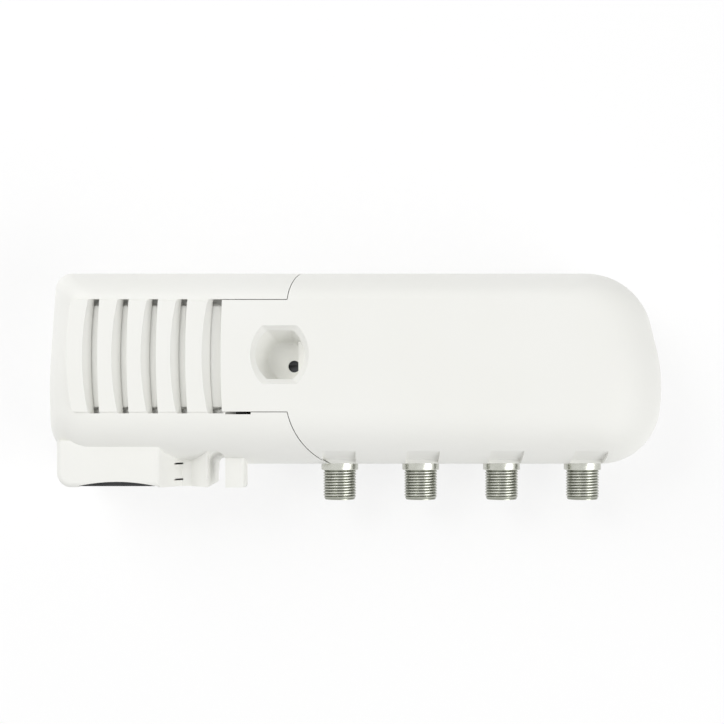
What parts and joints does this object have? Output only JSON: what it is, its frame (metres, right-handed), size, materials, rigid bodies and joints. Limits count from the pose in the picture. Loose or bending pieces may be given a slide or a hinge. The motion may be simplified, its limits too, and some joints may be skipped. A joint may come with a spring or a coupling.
{
  "type": "tv signal amplifier",
  "caption": "Wall-hung indoor aerial amplifier: white case with louvred mains half, lift-off amplifier cover, slotted level adjuster and threaded coaxial sockets along the lower side.",
  "frame": {"origin": "on the back face, midway between the two keyhole seats that hang the case on the wall", "axes": "+X along the case towards the amplifier end, +Y up the wall away from the sockets, +Z out from the wall through the front plate"},
  "size_m": [0.1738, 0.0646, 0.042],
  "materials": {
    "abs_case": "warm white moulded ABS, low sheen",
    "zinc_plated_steel": "bright zinc plate",
    "black_nylon": "glass-filled nylon, matt",
    "nickel_plated_brass": "nickel plate, polished",
    "paper_laminate": "paper laminate, tan",
    "glass_epoxy": "glass epoxy under green resist",
    "silicon_steel": "varnished laminations",
    "wound_copper": "enamelled copper",
    "fuse_tube": "clear drawn tube",
    "tinned_steel": "tin plate",
    "epoxy_box": "potted box, yellow",
    "sleeved_can": "shrunk sleeve, dark",
    "black_epoxy": "moulded epoxy",
    "aluminium_sheet": "mill finish",
    "zinc_casting": "nickel-plated zinc die casting, satin",
    "ferrite": "sintered, matt",
    "blue_plastic": "moulded, satin",
    "grey_nylon": "moulded nylon, dark grey",
    "white_polymer": "polyethylene, milky"
  },
  "bodies": {
    "case": {"rear_base": "abs_case", "power_cover": "abs_case", "vent_baffle": "abs_case", "case_screws": "zinc_plated_steel", "power_board_screws": "zinc_plated_steel", "lid_screws": "zinc_plated_steel", "chassis_screws": "zinc_plated_steel", "mains_inlet_housing": "black_nylon", "mains_inlet_pins": "nickel_plated_brass", "power_board": "paper_laminate", "amplifier_board": "glass_epoxy", "transformer_core": "silicon_steel", "transformer_bobbin": "black_nylon", "mains_winding": "wound_copper", "low_voltage_winding": "wound_copper", "fuse_glass": "fuse_tube", "fuse_caps": "nickel_plated_brass", "fuse_clips": "tinned_steel", "film_capacitor": "epoxy_box", "smoothing_capacitor": "sleeved_can", "rectifier_diodes": "black_epoxy", "voltage_regulator": "black_epoxy", "heat_sink": "aluminium_sheet", "screening_chassis": "zinc_casting", "chassis_lid": "tinned_steel", "amplifier_chips": "black_epoxy", "splitter_cores": "ferrite", "filter_cans": "tinned_steel", "feedthrough": "tinned_steel", "supply_lead": "wound_copper", "trimmer_body": "blue_plastic", "socket_body_1": "zinc_casting", "socket_insulator_1": "white_polymer", "socket_contact_1": "nickel_plated_brass", "socket_body_2": "zinc_casting", "socket_insulator_2": "white_polymer", "socket_contact_2": "nickel_plated_brass", "socket_body_3": "zinc_casting", "socket_insulator_3": "white_polymer", "socket_contact_3": "nickel_plated_brass", "socket_body_4": "zinc_casting", "socket_insulator_4": "white_polymer", "socket_contact_4": "nickel_plated_brass"},
    "cover": {"amplifier_cover": "abs_case"},
    "adjuster": {"level_adjuster": "grey_nylon"}
  },
  "joints": [
    {"name": "cover_lift", "type": "slide", "parent": "case", "child": "cover", "axis": [0, 0, 1], "range_m": [0, 0.05]},
    {"name": "level_turn", "type": "hinge", "parent": "case", "child": "adjuster", "pos_m": [-0.0173, 0.00045, 0.02], "axis": [0, 0, 1], "range_deg": [-135, 135]}
  ]
}
